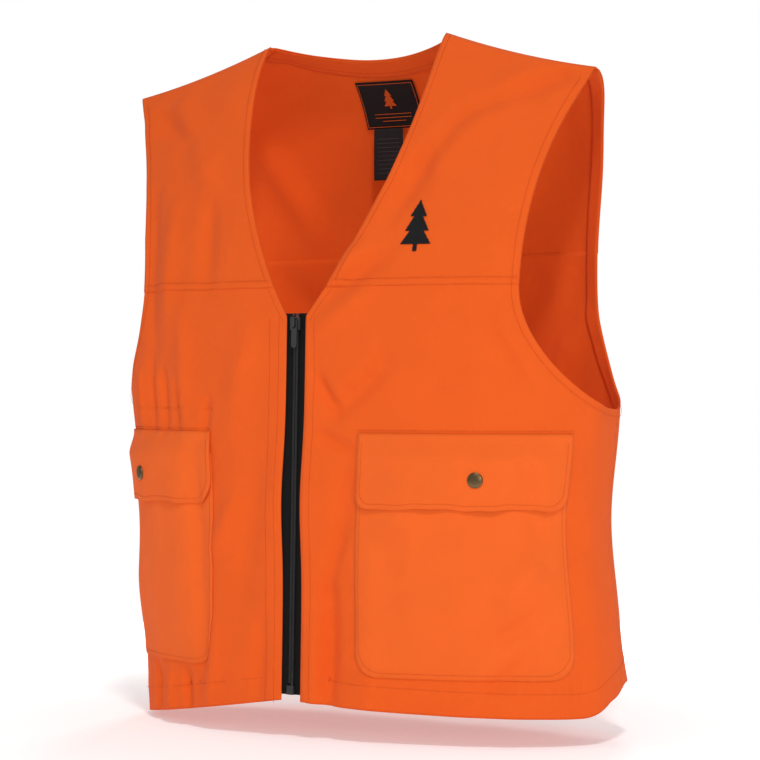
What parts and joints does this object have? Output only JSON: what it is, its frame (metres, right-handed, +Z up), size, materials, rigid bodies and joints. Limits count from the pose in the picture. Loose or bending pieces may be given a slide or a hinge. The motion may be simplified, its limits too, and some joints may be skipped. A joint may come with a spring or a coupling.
{
  "type": "sleeveless safety vest",
  "caption": "Sleeveless V-neck hunting vest in blaze orange cloth with a front zipper and two large patch pockets under snap flaps.",
  "frame": {"origin": "midway between the two high points of the shoulders, where the neck meets the shoulder seam", "axes": "+Z up along the wearer's back, -Y out of the vest's front, +X towards the wearer's left"},
  "size_m": [0.556, 0.2512, 0.7003],
  "materials": {
    "blaze_cloth": "plain weave polyester, matt",
    "blaze_lining": "plain weave polyester, matt",
    "zip_tape": "woven tape",
    "zip_coil": "moulded nylon",
    "zip_metal": "black enamel",
    "snap_metal": "antique brass",
    "label": "satin woven label",
    "emblem_thread": "satin stitch embroidery"
  },
  "bodies": {
    "vest": {"back_yoke": "blaze_cloth", "back_panel": "blaze_cloth", "left_front_yoke": "blaze_cloth", "right_front_yoke": "blaze_cloth", "left_front_panel": "blaze_cloth", "right_front_panel": "blaze_cloth", "left_pocket": "blaze_cloth", "right_pocket": "blaze_cloth", "back_neck_facing": "blaze_lining", "left_neck_facing": "blaze_lining", "right_neck_facing": "blaze_lining", "left_armhole_facing": "blaze_lining", "right_armhole_facing": "blaze_lining", "left_zip_facing": "blaze_lining", "right_zip_facing": "blaze_lining", "hem_facing": "blaze_lining", "left_snap_stud": "snap_metal", "left_snap_post": "snap_metal", "left_zip_tape": "zip_tape", "left_zip_coil": "zip_coil", "right_snap_stud": "snap_metal", "right_snap_post": "snap_metal", "right_zip_tape": "zip_tape", "right_zip_coil": "zip_coil", "zip_top_stops": "zip_metal", "zip_pin": "zip_coil", "zip_box": "zip_coil", "neck_label": "label", "chest_emblem": "emblem_thread"},
    "slider": {"slider_body": "zip_metal"},
    "pull": {"pull_tab": "zip_metal"},
    "left_flap_body": {"left_flap": "blaze_cloth", "left_flap_lining": "blaze_lining", "left_snap_cap": "snap_metal", "left_snap_socket": "snap_metal"},
    "right_flap_body": {"right_flap": "blaze_cloth", "right_flap_lining": "blaze_lining", "right_snap_cap": "snap_metal", "right_snap_socket": "snap_metal"},
    "care": {"care_label": "label"}
  },
  "joints": [
    {"name": "zip_slide", "type": "slide", "parent": "vest", "child": "slider", "axis": [0, -0.0285, -0.9996], "range_m": [0, 0.35], "deforming": ["left_zip_coil", "right_zip_coil"]},
    {"name": "pull_hinge", "type": "hinge", "parent": "slider", "child": "pull", "pos_m": [0, -0.12171, -0.2915], "axis": [-1, 0, 0], "range_deg": [0, 168]},
    {"name": "left_flap_hinge", "type": "hinge", "parent": "vest", "child": "left_flap_body", "pos_m": [0.19058, -0.09172, -0.40201], "axis": [-0.9314, -0.3639, 0], "range_deg": [0, 150]},
    {"name": "right_flap_hinge", "type": "hinge", "parent": "vest", "child": "right_flap_body", "pos_m": [-0.21266, -0.07476, -0.40212], "axis": [-0.8544, 0.5196, 0], "range_deg": [0, 150]},
    {"name": "care_label_hinge", "type": "hinge", "parent": "vest", "child": "care", "pos_m": [0, 0.08972, -0.082], "axis": [-1, 0, 0], "range_deg": [0, 110]}
  ]
}
